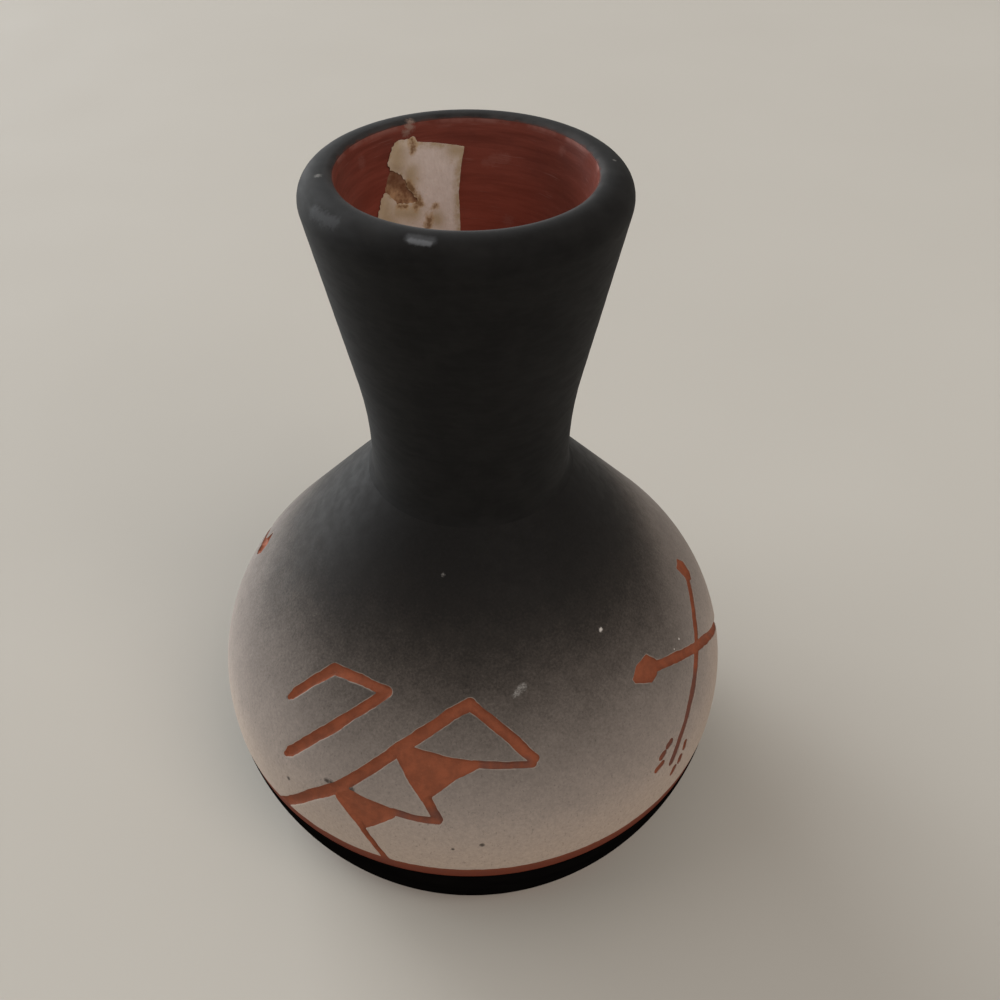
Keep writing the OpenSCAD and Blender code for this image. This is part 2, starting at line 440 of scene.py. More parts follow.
class CutField:
    """Distance on the globe's wall from the edge of the cut figures, negative inside them."""

    def __init__(self, outline):
        self.outline = outline
        self.known = lengths(outline)
        self.top = self.known[-1]
        columns = round(2 * math.pi * GLOBE_R / FIELD_PITCH)
        rows = round(self.top / FIELD_PITCH)
        self.azimuth = np.linspace(SEAM - 360, SEAM, columns + 1)
        self.distance = np.linspace(0, self.top, rows + 1)
        self.radius = np.interp(self.distance, self.known, outline[:, 0])
        self.value = np.full((columns + 1, rows + 1), REACH)
        np.minimum(self.value, self.distance - RING_W / 2, out=self.value)
        self.pitch = np.array([2 * math.pi * GLOBE_R / columns, self.distance[1]])
        self.size = self.pitch * (np.array(self.value.shape) - 1)

    def along(self, height):
        """Distance up the wall at a height."""
        return np.interp(height, self.outline[:, 1], self.known)

    def window(self, azimuth, distance, margin):
        """Slices of the field within a margin of some points."""
        low = max(0, np.searchsorted(self.distance, min(distance) - margin) - 1)
        high = np.searchsorted(self.distance, max(distance) + margin) + 1
        spread = math.degrees(margin / self.radius[low:high].min())
        first = max(0, np.searchsorted(self.azimuth, min(azimuth) - spread) - 1)
        last = np.searchsorted(self.azimuth, max(azimuth) + spread) + 1
        return slice(first, last), slice(low, high)

    def from_segment(self, area, start, end):
        """Distance from a straight piece of a stroke."""
        across = np.radians(self.azimuth[area[0]] - start[0])[:, None] * self.radius[area[1]]
        up = self.distance[area[1]] - start[1] + 0 * across
        run = math.radians(end[0] - start[0]) * self.radius[area[1]]
        rise = end[1] - start[1]
        part = np.clip((across * run + up * rise) / (run * run + rise * rise), 0, 1)
        return np.hypot(across - part * run, up - part * rise)

    def stroke(self, width, points):
        """Cuts a stroke that follows points of (azimuth, height)."""
        path = [(a, self.along(z)) for a, z in points]
        for start, end in zip(path, path[1:]):
            area = self.window((start[0], end[0]), (start[1], end[1]), width / 2 + REACH)
            gap = self.from_segment(area, start, end)
            np.minimum(self.value[area], gap - width / 2, out=self.value[area])

    def fill(self, points):
        """Cuts the whole of a many-sided shape."""
        path = [(a, self.along(z)) for a, z in points]
        area = self.window([p[0] for p in path], [p[1] for p in path], REACH)
        a = self.azimuth[area[0]][:, None]
        s = self.distance[area[1]][None, :]
        inside = np.zeros(self.value[area].shape, bool)
        gap = np.full(inside.shape, REACH)
        for start, end in zip(path, path[1:] + path[:1]):
            gap = np.minimum(gap, self.from_segment(area, start, end))
            if start[1] != end[1]:
                crossing = start[0] + (s - start[1]) * (end[0] - start[0]) / (end[1] - start[1])
                inside ^= ((start[1] > s) != (end[1] > s)) & (a < crossing)
        np.minimum(self.value[area], np.where(inside, -gap, gap), out=self.value[area])

    def roughen(self):
        """Gives every cut edge the waver of a hand-held tool."""
        a = self.azimuth[:, None]
        s = self.distance[None, :]
        self.value += sum(amount * wander(a, s, size, seed) for amount, size, seed in EDGE_WAVERS)

    def at(self, azimuth, distance):
        """The field at any places, by straight interpolation."""
        last = np.array(self.value.shape) - 1.001
        u = np.clip((azimuth - self.azimuth[0]) / (self.azimuth[1] - self.azimuth[0]), 0, last[0])
        v = np.clip(distance / self.distance[1], 0, last[1])
        i = u.astype(int)
        j = v.astype(int)
        fu = u - i
        fv = v - j
        low = self.value[i, j] * (1 - fu) + self.value[i + 1, j] * fu
        high = self.value[i, j + 1] * (1 - fu) + self.value[i + 1, j + 1] * fu
        return low * (1 - fv) + high * fv

    def turn(self, x):
        """Azimuth of a place across the flat plan of the wall."""
        return x / self.size[0] * 360 + SEAM - 360

    def grid(self, step, low, high):
        """Staggered points of the flat plan at which the field lies between two values."""
        across = np.arange(step, self.size[0] - step / 2, step)
        up = np.arange(step, self.size[1] - step / 2, step * ROW_SHARE)
        x, y = np.meshgrid(across, up)
        x = x + np.where(np.arange(len(x)) % 2, step / 4, -step / 4)[:, None]
        value = self.at(self.turn(x), y)
        keep = (value > low) & (value < high)
        return list(zip(x[keep], y[keep]))


def contours(value, level):
    """Lines where a grid of values equals a level, each as (points in grid steps, is it closed)."""
    low = value < level
    corner = low[:-1, :-1]
    mixed = (corner != low[1:, :-1]) | (corner != low[:-1, 1:]) | (corner != low[1:, 1:])
    links = {}
    for i, j in np.argwhere(mixed).tolist():
        bottom, right, top, left = (i, j, 0), (i + 1, j, 1), (i, j + 1, 0), (i, j, 1)
        corners = low[i, j], low[i + 1, j], low[i + 1, j + 1], low[i, j + 1]
        crossed = [
            edge
            for edge, a, b in zip((bottom, right, top, left), corners, corners[1:] + corners[:1])
            if a != b
        ]
        pairs = [crossed]
        if len(crossed) == 4:
            joined = (value[i : i + 2, j : j + 2].mean() < level) == corners[0]
            pairs = [(bottom, right), (top, left)] if joined else [(bottom, left), (right, top)]
        for a, b in pairs:
            links.setdefault(a, []).append(b)
            links.setdefault(b, []).append(a)

    def crossing(edge):
        i, j, axis = edge
        a = value[i, j]
        b = value[i + 1, j] if axis == 0 else value[i, j + 1]
        part = (level - a) / (b - a)
        return (i + part, j) if axis == 0 else (i, j + part)

    lines = []
    ends = [edge for edge, near in links.items() if len(near) == 1]
    seen = set()
    for start in ends + list(links):
        if start in seen:
            continue
        line = [start]
        seen.add(start)
        while True:
            onward = [edge for edge in links[line[-1]] if edge not in seen]
            if not onward:
                break
            line.append(onward[0])
            seen.add(onward[0])
        lines.append((np.array([crossing(edge) for edge in line]), len(links[start]) == 2))
    return lines


def even_line(points, closed, step):
    """A line drawn again at even steps; a closed one doesn't repeat its first point."""
    if closed:
        points = np.vstack([points, points[:1]])
    known = lengths(points)
    count = max(6 if closed else 1, round(known[-1] / step))
    line = between(points, known, np.linspace(0, known[-1], count + 1))
    return line[:-1] if closed else line


def triangulate(points, edges, kind):
    """Triangles over points in a plane that keep the given edges, and which edges were given."""
    found = delaunay_2d_cdt([Vector(p) for p in points], edges, [], kind, 1e-7)
    kept = {frozenset(edge) for edge, origin in zip(found[1], found[4]) if origin}
    return np.array([tuple(p) for p in found[0]]), [tuple(face) for face in found[2]], kept


def cut_from_kept(triangles, kept, values):
    """Which triangles lie in a cut: areas bounded by kept edges, told by their mean value."""
    sides = {}
    for index, (a, b, c) in enumerate(triangles):
        for edge in ((a, b), (b, c), (c, a)):
            sides.setdefault(frozenset(edge), []).append(index)
    near = [[] for _ in triangles]
    for edge, both in sides.items():
        if len(both) == 2 and edge not in kept:
            near[both[0]].append(both[1])
            near[both[1]].append(both[0])
    cut = np.zeros(len(triangles), bool)
    seen = np.zeros(len(triangles), bool)
    for first in range(len(triangles)):
        if seen[first]:
            continue
        seen[first] = True
        area = [first]
        for index in area:
            for other in near[index]:
                if not seen[other]:
                    seen[other] = True
                    area.append(other)
        cut[area] = np.mean(values[area]) < 0
    return cut


def closed_sheet(top, bottom, triangles):
    """Vertices and faces of a thin solid between two skins of the same triangles."""
    count = len(top)
    directed = {(a, b) for t in triangles for a, b in zip(t, t[1:] + t[:1])}
    rim = [(a, b) for a, b in directed if (b, a) not in directed]
    walls = [(b, a, a + count, b + count) for a, b in sorted(rim)]
    under = [(c + count, b + count, a + count) for a, b, c in triangles]
    return np.vstack([top, bottom]), list(triangles) + under + walls


def lattice_faces(rows, columns, close_rows):
    """Quads over a grid of points that wraps round its columns."""
    last = rows if close_rows else rows - 1
    i, j = np.meshgrid(np.arange(last), np.arange(columns), indexing="ij")
    k = (i + 1) % rows
    m = (j + 1) % columns
    quads = np.stack([i * columns + j, i * columns + m, k * columns + m, k * columns + j], axis=-1)
    return [tuple(q) for q in quads.reshape(-1, 4).tolist()]


def azimuths():
    """The directions at which turned pieces have their points."""
    return SEAM - 360 + np.arange(AROUND) * 360 / AROUND


def turned_coat(outline, step, relief):
    """A turned coat, its visible face sunk by relief(azimuth, distance), and each point's distance."""
    face = spaced(outline, step)
    back = spaced(outline, HIDDEN_STEP)[::-1]
    run = np.concatenate([lengths(face), lengths(back)[::-1]])
    around = azimuths()
    depth = relief(around[None, :], lengths(face)[:, None])
    points = np.vstack(
        [placed(face[:, None], around, depth), placed(back[:, None], around, COAT - HIDDEN_GAP)]
    )
    return points.reshape(-1, 3), lattice_faces(len(points), AROUND, True), np.repeat(run, AROUND)


def add_object(name, data):
    """Puts a mesh, a light or a camera in the scene."""
    made = bpy.data.objects.new(name, data)
    bpy.context.scene.collection.objects.link(made)
    return made


def add_piece(name, verts, faces, material, node, slot, **values):
    """Makes a piece that stands for a CAD node, with named values stored on its points."""
    mesh = bpy.data.meshes.new(name)
    mesh.from_pydata(np.asarray(verts).tolist(), [], faces)
    for key, numbers in values.items():
        stored = mesh.attributes.new(key, "FLOAT", "POINT").data
        stored.foreach_set("value", np.asarray(numbers, np.float32))
    work = bmesh.new()
    work.from_mesh(mesh)
    bmesh.ops.remove_doubles(work, verts=work.verts, dist=WELD * MM)
    bmesh.ops.dissolve_degenerate(work, edges=work.edges, dist=WELD * MM)
    bmesh.ops.recalc_face_normals(work, faces=work.faces)
    work.to_mesh(mesh)
    work.free()
    mesh.shade_smooth()
    mesh.set_sharp_from_angle(angle=math.radians(SHARP_ANGLE))
    mesh.materials.append(material)
    piece = add_object(name, mesh)
    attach(piece, "root")
    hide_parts(node)


class Paint:
    """A node material under construction. Sizes are in millimetres of the object."""

    def __init__(self, name, colour, **sockets):
        self.colour = colour
        self.material = bpy.data.materials.new(name)
        self.material.use_nodes = True
        self.tree = self.material.node_tree
        self.shader = self.tree.nodes["Principled BSDF"]
        for socket, value in sockets.items():
            self.shader.inputs[socket.replace("_", " ")].default_value = value
        self.place = self.node("ShaderNodeTexCoord").outputs["Object"]
        self.height = self.along((0, 0, 1))

    def node(self, kind, inputs=None, **settings):
        """Adds a node; an input is a number, a colour or another node's output."""
        made = self.tree.nodes.new(kind)
        for key, value in settings.items():
            setattr(made, key, value)
        for key, value in (inputs or {}).items():
            socket = made.inputs[key]
            if isinstance(value, bpy.types.NodeSocket):
                self.tree.links.new(value, socket)
            else:
                socket.default_value = (*value, 1.0) if socket.type == "RGBA" else value
        return made

    def math(self, operation, a, b=0.0, c=0.0):
        """A sum, a product or the like."""
        return self.node("ShaderNodeMath", {0: a, 1: b, 2: c}, operation=operation).outputs[0]

    def chain(self, operation, first, *others):
        """Values joined one after another by an operation."""
        for other in others:
            first = self.math(operation, first, other)
        return first

    def swing(self, value, amount):
        """A value from 0 to 1 as one from minus half to plus half an amount."""
        return self.math("MULTIPLY_ADD", value, amount, -amount / 2)

    def along(self, direction):
        """How far each point lies along a direction, in millimetres."""
        inputs = {0: self.place, 1: direction}
        made = self.node("ShaderNodeVectorMath", inputs, operation="DOT_PRODUCT")
        return self.math("MULTIPLY", made.outputs["Value"], 1 / MM)

    def span(self, value, low, high, to_low=0.0, to_high=1.0):
        """Value mapped smoothly from one range to another and held at its ends."""
        inputs = {"Value": value, 1: low, 2: high, 3: to_low, 4: to_high}
        return self.node("ShaderNodeMapRange", inputs, interpolation_type="SMOOTHSTEP").outputs[0]

    def noise(self, size, detail=2.0, rough=0.55, stretch=(1, 1, 1), shift=0.0):
        """Noise from 0 to 1 in patches of a size, drawn out along an axis by stretch."""
        scale = [1 / (size * MM * s) for s in stretch]
        inputs = {"Vector": self.place, "Location": (shift,) * 3, "Scale": scale}
        moved = self.node("ShaderNodeMapping", inputs).outputs[0]
        inputs = {"Vector": moved, "Scale": 1.0, "Detail": detail, "Roughness": rough}
        return self.node("ShaderNodeTexNoise", inputs).outputs[0]

    def spots(self, marks, inside=False, torn=0.8):
        """1 at places on the wall given as (azimuth, height, reach), falling to 0 at their reach."""
        ragged = self.noise(0.5, 3, 0.7, shift=6.0)
        found = []
        for azimuth, height, reach in marks:
            turn = math.radians(azimuth)
            radius = wall_radius(height, inside)
            centre = [c * MM for c in (radius * math.sin(turn), -radius * math.cos(turn), height)]
            gap = self.node("ShaderNodeVectorMath", {0: self.place, 1: centre}, operation="DISTANCE")
            waver = self.swing(ragged, 2 * torn * reach * MM)
            gap = self.math("ADD", gap.outputs["Value"], waver)
            found.append(self.span(gap, SPOT_CORE * reach * MM, reach * MM, 1.0, 0.0))
        return self.chain("MAXIMUM", *found)

    def value(self, name):
        """A value stored on the piece's points."""
        return self.node("ShaderNodeAttribute", attribute_name=name).outputs["Fac"]

    def over(self, colour, *shares):
        """Lays a colour over the rest by the product of shares, each a value or a span's inputs."""
        shares = [self.span(*share) if isinstance(share, tuple) else share for share in shares]
        inputs = {0: self.chain("MULTIPLY", *shares), 6: self.colour, 7: colour}
        self.colour = self.node("ShaderNodeMix", inputs, data_type="RGBA").outputs[2]

    def ramp(self, value, stops):
        """A colour read off a scale of (place, colour) stops."""
        made = self.node("ShaderNodeValToRGB", {0: value})
        scale = made.color_ramp.elements
        while len(scale) < len(stops):
            scale.new(1.0)
        for element, (place, colour) in zip(scale, stops):
            element.position = place
            element.color = (*colour, 1.0)
        return made.outputs[0]

    def finish(self, roughness, *bumps):
        """Joins the colour, a span of roughness and bumps of (height, depth) to the shader."""
        normal = None
        for height, depth in bumps:
            inputs = {"Height": height, "Distance": depth * MM, "Strength": 1.0}
            if normal is not None:
                inputs["Normal"] = normal
            normal = self.node("ShaderNodeBump", inputs).outputs[0]
        made = {"Base Color": self.colour, "Roughness": self.span(*roughness), "Normal": normal}
        for socket, value in made.items():
            self.tree.links.new(value, self.shader.inputs[socket])
        return self.material


# Colours of the slip, the clay, and the dust and wear on them
WHITE_SLIP = (0.445, 0.36, 0.303)
BLACK_SLIP = (0.0105, 0.0098, 0.0094)
# Black of the foot band: the black slip painted darker as painted shade
FOOT_SHADED_BLACK = (0.0030, 0.0026, 0.0025)
TERRACOTTA = (0.255, 0.075, 0.036)
CLAY_PALE = (0.31, 0.12, 0.065)
CLAY_DARK = (0.075, 0.023, 0.012)
DULL_CLAY = (0.12, 0.06, 0.05)
RING_RED = (0.122, 0.021, 0.0100)
PALE_DUST = (0.30, 0.285, 0.27)
# Cool grey of dust on the lip and of its painted sheen and glints
COOL_DUST_AND_SHEEN = (0.28, 0.29, 0.31)
CHIP_WHITE = (0.62, 0.58, 0.54)
SPECK_DARK = (0.030, 0.022, 0.018)
GUM_PINK = (0.30, 0.205, 0.165)
WORN_GREY = (0.050, 0.045, 0.044)
THIN_BROWN = (0.075, 0.026, 0.019)
# Colours of the lining, the paper and the glue
LINER_DARK = (0.136, 0.033, 0.022)
LINER_RED = (0.198, 0.050, 0.034)
LINER_BLOTCH = (0.115, 0.030, 0.022)
# Paler red painted low inside the lining as painted light
LINER_BOUNCE_LIGHT = (0.36, 0.080, 0.050)
# Painted shade on the lining's right side
LINER_SHADE_BROWN = (0.075, 0.022, 0.015)
GLAZE_PALE = (0.30, 0.135, 0.11)
PAPER_DARK = (0.66, 0.565, 0.505)
PAPER_PALE = (0.73, 0.635, 0.575)
PAPER_YELLOW = (0.44, 0.335, 0.205)
PAPER_TAN = (0.46, 0.31, 0.17)
PAPER_BROWN = (0.20, 0.105, 0.045)
GLUE_DARK = (0.20, 0.098, 0.050)
GLUE_PALE = (0.48, 0.29, 0.155)
# Brown of the painted shadow on the glue
GLUE_SHADOW_BROWN = (0.13, 0.05, 0.024)
# Share of a spot's reach over which it is whole, and how strongly specks show
SPOT_CORE = 0.2
SPECK_SHARE = 0.85
# The sprayed fade: its ends, the tint of its greys, and how much higher the white reaches
# from some way towards the right and the back, partly uneven spraying and partly painted light there
FADE_LOW = 20.0
FADE_HIGH = 72.0
FADE_COOL = (0.0, 0.045, 0.10)
SPRAY_AND_LIGHT_LEAN = 6.0
LEAN_FROM = 12.0
LEAN_TO = 36.0
# Share of white slip left at each height of the fade
FADE = (
    (23, 1.1), (28, 1.01), (32, 0.87), (35, 0.73), (38, 0.64), (41, 0.54), (44, 0.43), (47, 0.32),
    (50, 0.2), (53, 0.11), (56, 0.05), (60, 0.017), (64, 0.005), (68, 0.0),
)
# Where the lining is painted paler and redder going down, as painted light, and browner to the right, as
# painted shade
BOUNCE_LIGHT_Z = 96.0
SHADE_FROM = 8.0
SHADE_TO = 17.0


def shaded(colour, share):
    """A colour made darker or paler."""
    return tuple(share * c for c in colour)


def fade_stops():
    """The colours of the sprayed fade, by their place between its ends."""
    stops = []
    for height, share in FADE:
        cool = 4 * share * (1 - share)
        white = [w * (1 + c * cool) for w, c in zip(WHITE_SLIP, FADE_COOL)]
        colour = tuple(share * w + (1 - share) * b for w, b in zip(white, BLACK_SLIP))
        stops.append(((height - FADE_LOW) / (FADE_HIGH - FADE_LOW), colour))
    return stops


def graded_slip():
    """White slip sprayed over with black from above, pale along the cuts, with a few marks of wear."""
    paint = Paint("graded_slip", WHITE_SLIP, Specular_IOR_Level=0.06, Sheen_Weight=0.05)
    drift = paint.swing(paint.noise(16), 5.0)
    mottle = paint.swing(paint.noise(2.4, 3), 4.0)
    spray = paint.swing(paint.noise(0.4, 3, 0.7), 9.0)
    # Partly painted light: the white reaches higher towards the right and the back
    lean = paint.span(paint.along((1, 1, 0)), LEAN_FROM, LEAN_TO, 0.0, -SPRAY_AND_LIGHT_LEAN)
    shade = paint.chain("ADD", drift, mottle, spray, paint.height, lean)
    place = paint.math("DIVIDE", paint.math("SUBTRACT", shade, FADE_LOW), FADE_HIGH - FADE_LOW)
    paint.colour = paint.ramp(place, fade_stops())
    soot = shaded(BLACK_SLIP, 2.0)
    grain = paint.noise(0.6, 4, 0.7, shift=3.0)
    paint.over(soot, (grain, 0.2, 0.8, 0.22, 0.0))
    scraped = paint.span(paint.value("edge"), 0.02, 0.2, 0.5, 0.0)
    paint.over(WHITE_SLIP, scraped, (mottle, -0.6, 0.3))
    flecks = paint.noise(0.35, 2, 0.6, stretch=(1, 1, 2.5), shift=4.0)
    paint.over(soot, (flecks, 0.6, 0.74, 0.0, 0.3))
    patchy = paint.span(paint.noise(0.5, 3, 0.7, shift=8.0), 0.35, 0.6, 0.15, 0.8)
    paint.over(PALE_DUST, paint.spots(PALE_SMUDGES), patchy)
    paint.over(CHIP_WHITE, paint.spots(PALE_CHIPS))
    paint.over(SPECK_DARK, paint.spots(DARK_SPECKS), SPECK_SHARE)
    roughness = (paint.noise(2.0, 3, shift=7.0), 0.3, 0.7, 0.55, 0.68)
    streaks = paint.noise(0.9, 3, 0.6, stretch=(5, 5, 0.6), shift=5.0)
    return paint.finish(roughness, (streaks, 0.012), (paint.noise(4.0, shift=2.0), 0.05))


def black_slip():
    """Matte black slip, paler over the top of the lip partly from rubbing and partly as painted light,
    with dust and gum left on it and painted sheen and glints on the lip.
    """
    paint = Paint("black_slip", shaded(BLACK_SLIP, 0.55), Specular_IOR_Level=0.16, Sheen_Weight=0.03)
    cloud = paint.noise(5.0, 3, 0.6)
    paint.over(shaded(BLACK_SLIP, 0.85), (cloud, 0.3, 0.7))
    # Paler top of the lip: partly rubbing, partly painted light from above
    rubbed_and_lit = paint.span(paint.height, HEIGHT - 2.0, HEIGHT - 0.2, 0.0, 0.2)
    paint.over(shaded(BLACK_SLIP, 4.0), rubbed_and_lit, cloud)
    # Chips and dust on the lip, and painted sheen and glints on its front
    for marks, dust_and_sheen, share, torn in (
        (LIP_CHIPS, PALE_DUST, 0.4, 0.8),
        (LIP_PAINTED_SHEEN, COOL_DUST_AND_SHEEN, 0.16, 0.3),
        (LIP_PAINTED_GLINT, COOL_DUST_AND_SHEEN, 0.32, 0.5),
        (LIP_HAZE_AND_SHEEN, COOL_DUST_AND_SHEEN, 0.09, 0.8),
    ):
        paint.over(dust_and_sheen, paint.spots(marks, torn=torn), share)
    edge = paint.value("edge")
    worn = paint.span(edge, 0.2, 1.7, 0.8, 0.0)
    paint.over(WORN_GREY, worn, (cloud, 0.3, 0.6, 0.4, 1.0))
    thin = paint.math("ADD", edge, paint.swing(paint.noise(1.6, 3, 0.65, shift=2.0), 1.0))
    paint.over(THIN_BROWN, (thin, 0.0, 0.35, 0.75, 0.0))
    patchy = paint.span(paint.noise(0.7, 3, 0.7, shift=8.0), 0.3, 0.65, 0.4, 0.75)
    paint.over(GUM_PINK, paint.spots(GUM_SMEAR, inside=True), patchy)
    roughness = (paint.noise(1.5, 3, stretch=(2, 2, 0.6), shift=4.0), 0.3, 0.7, 0.80, 0.90)
    ridges = paint.noise(1.2, 3, 0.6, stretch=(3, 3, 0.6), shift=1.0)
    return paint.finish(roughness, (ridges, 0.008))


def shaded_foot_slip():
    """The foot band's black slip, painted darker than the neck's as painted shade, with a trace of
    rubbing.
    """
    paint = Paint("shaded_foot_slip", FOOT_SHADED_BLACK, Specular_IOR_Level=0.0)
    cloud = paint.noise(3.0, 3, 0.6, stretch=(3, 3, 1))
    paint.over(shaded(FOOT_SHADED_BLACK, 1.6), (cloud, 0.3, 0.75))
    roughness = (cloud, 0.3, 0.7, 0.6, 0.7)
    ridges = paint.noise(1.0, 3, 0.6, stretch=(3, 3, 0.6), shift=1.0)
    return paint.finish(roughness, (ridges, 0.008))


def bare_clay(name):
    """Terracotta scraped bare: grainy, darker in the ring, and greyer and darker over some thin cuts."""
    paint = Paint(name, shaded(TERRACOTTA, 0.84), Specular_IOR_Level=0.2)
    blotch = paint.noise(1.8, 3, 0.6)
    paint.over(shaded(TERRACOTTA, 1.14), (blotch, 0.3, 0.72))
    grain = paint.noise(0.3, 2, 0.7, shift=2.0)
    paint.over(CLAY_PALE, (grain, 0.6, 0.78, 0.0, 0.5))
    paint.over(CLAY_DARK, (grain, 0.22, 0.36, 0.45, 0.0))
    paint.over(DULL_CLAY, paint.spots(DULL_CUTS, torn=0.2), 0.7)
    paint.over(SPECK_DARK, paint.spots(DARK_SPECKS), SPECK_SHARE)
    low = paint.span(paint.height, RING_Z - 0.5, RING_Z + 3.0, 0.75, 0.0)
    paint.over(RING_RED, low)
    roughness = (blotch, 0.2, 0.8, 0.72, 0.9)
    scrape = paint.noise(0.5, 3, 0.6, stretch=(2.5, 2.5, 0.6), shift=6.0)
    return paint.finish(roughness, (scrape, 0.05), (grain, 0.03))


def liner_glaze():
    """Red-brown inside: thin clear glaze over turned clay."""
    paint = Paint("liner_glaze", LINER_DARK, Specular_IOR_Level=0.12)
    turned = paint.noise(1.4, 3, 0.6, stretch=(8, 8, 0.7))
    paint.over(LINER_RED, (turned, 0.3, 0.7))
    blotch = paint.noise(5.0, 3, 0.6, shift=3.0)
    paint.over(LINER_BLOTCH, (blotch, 0.5, 0.8, 0.0, 0.5))
    # Painted light: the lining paler and redder below a height
    paint.over(LINER_BOUNCE_LIGHT, (paint.height, BOUNCE_LIGHT_Z, HEIGHT, 0.6, 0.0))
    # Painted shade: the lining browner towards the right
    right_shade = paint.span(paint.along((1, 0, 0)), SHADE_FROM, SHADE_TO, 0.0, 0.4)
    paint.over(LINER_SHADE_BROWN, right_shade)
    scratch = paint.span(paint.noise(0.35, 2, 0.6, stretch=(14, 14, 0.8), shift=7.0), 0.6, 0.72)
    paint.over(GLAZE_PALE, scratch, (blotch, 0.4, 0.6, 0.0, 0.3))
    paint.over(GLAZE_PALE, paint.spots(INNER_SMUDGES, inside=True), 0.22)
    rim = paint.span(paint.value("edge"), 0.1, 0.9, 0.6, 0.0)
    paint.over(GLAZE_PALE, rim, (blotch, 0.4, 0.6))
    streaky = paint.span(turned, 0.35, 0.6, 0.3, 0.8)
    paint.over(GUM_PINK, paint.spots(GUM_SMEAR, inside=True), streaky)
    roughness = (blotch, 0.3, 0.7, 0.34, 0.5)
    return paint.finish(roughness, (turned, 0.05), (paint.noise(0.5, 3, shift=9.0), 0.012))


def aged_paper():
    """Pinkish-beige paper, yellowed in places and stained brown by its gum where it tore."""
    paint = Paint("aged_paper", PAPER_DARK, Specular_IOR_Level=0.2)
    fibre = paint.noise(0.5, 4, 0.7, stretch=(1, 1, 2.5))
    patch = paint.noise(1.1, 4, 0.7, shift=5.0)
    paint.over(PAPER_PALE, (fibre, 0.3, 0.7))
    rim = paint.span(paint.value("edge"), 0.1, 1.3, 1.0, 0.0)
    rim = paint.math("MULTIPLY", rim, paint.span(patch, 0.35, 0.6, 0.4))
    yellow = paint.math("MAXIMUM", rim, paint.value("yellow"))
    paint.over(PAPER_YELLOW, yellow, 0.9)
    stain = paint.math("ADD", paint.value("stain"), paint.math("MULTIPLY_ADD", patch, 2.0, -1.05))
    paint.over(PAPER_TAN, (stain, 0.1, 0.6, 0.0, 0.7))
    paint.over(PAPER_BROWN, (stain, 0.5, 1.0, 0.0, 0.85))
    roughness = (fibre, 0.3, 0.7, 0.75, 0.9)
    return paint.finish(roughness, (fibre, 0.05), (paint.noise(2.0, 2, shift=2.0), 0.12))


def dried_glue():
    """Brown gum, shiny and lumpy where the paper has come away, darkened by painted shadow under the
    paper's torn flap.
    """
    paint = Paint("dried_glue", GLUE_DARK, Specular_IOR_Level=0.5)
    lumps = paint.noise(1.1, 3, 0.6)
    paint.over(GLUE_PALE, (lumps, 0.3, 0.7))
    # Painted shadow of the paper's torn flap over the glue
    paint.over(GLUE_SHADOW_BROWN, paint.value("stain"), 0.8)
    roughness = (lumps, 0.3, 0.7, 0.3, 0.55)
    return paint.finish(roughness, (lumps, 0.08))


def hand_moved(points, move, drift, rng):
    """A figure's points, each moved to a copy's place and a little astray."""
    return [tuple(np.array(p) + move + np.array(drift) * rng.uniform(-1, 1, 2)) for p in points]


def cut_figures(outline):
    """The field of all cuts: the ring, and the figures in front and behind."""
    field = CutField(outline)
    rng = np.random.default_rng(5)
    for move, drift in FIGURE_COPIES:
        for width, points in STEPPED_STROKES + ARROW_STROKES:
            field.stroke(width, hand_moved(points, move, drift, rng))
        for points in STEPPED_FILLS + ARROW_FILLS:
            field.fill(hand_moved(points, move, drift, rng))
    field.roughen()
    return field


def plan_points(field):
    """Points of the globe's flat plan, close along the cuts, and the edges of the cuts."""
    width, height = field.size
    points = []
    edges = []
    ends = []
    for line, closed in contours(field.value, 0.0):
        line = even_line(line * field.pitch, closed, CUT_EDGE_STEP)
        if closed and len(line) < SMALLEST_CUT:
            continue
        first = len(points)
        points.extend(map(tuple, line))
        edges.extend((first + k, first + k + 1) for k in range(len(line) - 1))
        if closed:
            edges.append((first + len(line) - 1, first))
        else:
            ends.extend(p[1] for p in (line[0], line[-1]))
    for level in GUARD_LINES:
        for line, closed in contours(field.value, level):
            line = even_line(line * field.pitch, closed, CUT_EDGE_STEP)
            points.extend(p for p in map(tuple, line) if SEAM_MARGIN < p[0] < width - SEAM_MARGIN)
    points.extend(field.grid(CUT_GRID, -REACH * 2, CUT_INSIDE))
    points.extend(field.grid(COARSE_GRID, COAT_OUTSIDE, REACH * 2))
    rim = np.arange(AROUND + 1) * width / AROUND
    points.extend((x, y) for y in (0.0, height) for x in rim)
    side = sorted({round(float(y), 6) for y in [*np.arange(1, height - 0.5, 1.0), ends[0]]})
    points.extend((x, y) for x in (0.0, width) for y in side)
    return points, edges


def welded(flat, triangles, width):
    """Triangles of a plan whose right side is joined to its left."""
    left = {round(y, 4): k for k, (x, y) in enumerate(flat) if x < SAME_PLACE}
    weld = list(range(len(flat)))
    for k, (x, y) in enumerate(flat):
        if x > width - SAME_PLACE:
            weld[k] = left.get(round(y, 4), k)
    return [tuple(weld[k] for k in t) for t in triangles]


class GlobePlan:
    """The globe's wall laid flat and meshed along its cuts, and each point's place on the wall."""

    def __init__(self):
        outline = globe_outline()
        field = cut_figures(outline)
        points, edges = plan_points(field)
        flat, triangles, kept = triangulate(points, edges, 0)
        centres = flat[np.array(triangles)].mean(1)
        values = field.at(field.turn(centres[:, 0]), centres[:, 1])
        self.cut = cut_from_kept(triangles, kept, values)
        self.triangles = welded(flat, triangles, field.size[0])
        self.azimuth = field.turn(flat[:, 0])
        self.distance = np.clip(flat[:, 1], 0, field.size[1])
        self.value = field.at(self.azimuth, self.distance)
        self.rows = rows_at(outline, self.distance)
        self.to_top = field.size[1] - self.distance


